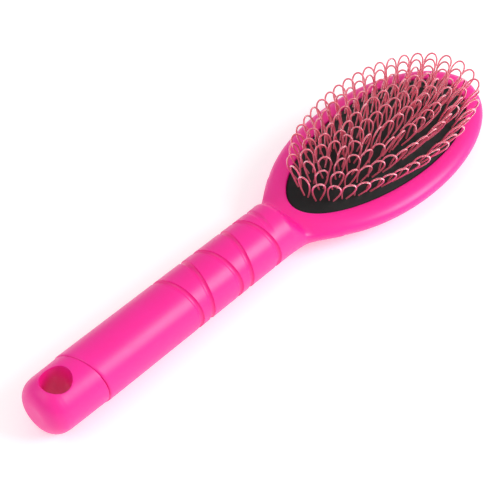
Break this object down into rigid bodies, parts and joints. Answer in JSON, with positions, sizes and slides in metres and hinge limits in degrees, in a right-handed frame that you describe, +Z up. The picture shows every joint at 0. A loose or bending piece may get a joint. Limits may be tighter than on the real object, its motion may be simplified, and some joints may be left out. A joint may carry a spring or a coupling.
{
  "type": "loop bristle hair brush",
  "caption": "Hand brush with a round grooved handle, a hanging hole in the end cap and an oval head holding a soft domed air cushion with rows of tall loop bristles.",
  "frame": {"origin": "middle of the bounding box on the ground plane, under the lowest line of the handle and the back of the head", "axes": "+X along the handle towards the head's tip, +Z up out of the bristle side and along the hanging hole, +Y across the head"},
  "size_m": [0.245, 0.064, 0.0352],
  "materials": {
    "handle_plastic": "satin",
    "cap_plastic": "satin",
    "tray_plastic": "matte",
    "cushion_rubber": "matte",
    "bristle_nylon": "translucent gloss"
  },
  "bodies": {
    "handle": {"handle_body": "handle_plastic", "end_cap": "cap_plastic", "pad_tray": "tray_plastic"},
    "pad": {"cushion": "cushion_rubber", "loops_r1_tip": "bristle_nylon", "loops_r1_left": "bristle_nylon", "loops_r1_neck": "bristle_nylon", "loops_r1_right": "bristle_nylon", "loops_r2_tip": "bristle_nylon", "loops_r2_left": "bristle_nylon", "loops_r2_neck": "bristle_nylon", "loops_r2_right": "bristle_nylon", "loops_r3_tip": "bristle_nylon", "loops_r3_left": "bristle_nylon", "loops_r3_neck": "bristle_nylon", "loops_r3_right": "bristle_nylon", "loops_r4_tip": "bristle_nylon", "loops_r4_left": "bristle_nylon", "loops_r4_neck": "bristle_nylon", "loops_r4_right": "bristle_nylon", "loops_mid": "bristle_nylon"}
  },
  "joints": [
    {"name": "pad_press", "type": "slide", "parent": "handle", "child": "pad", "axis": [0, 0, -1], "range_m": [0, 0.002], "stiffness_N_per_m": 2000, "deforming": ["cushion"]}
  ]
}
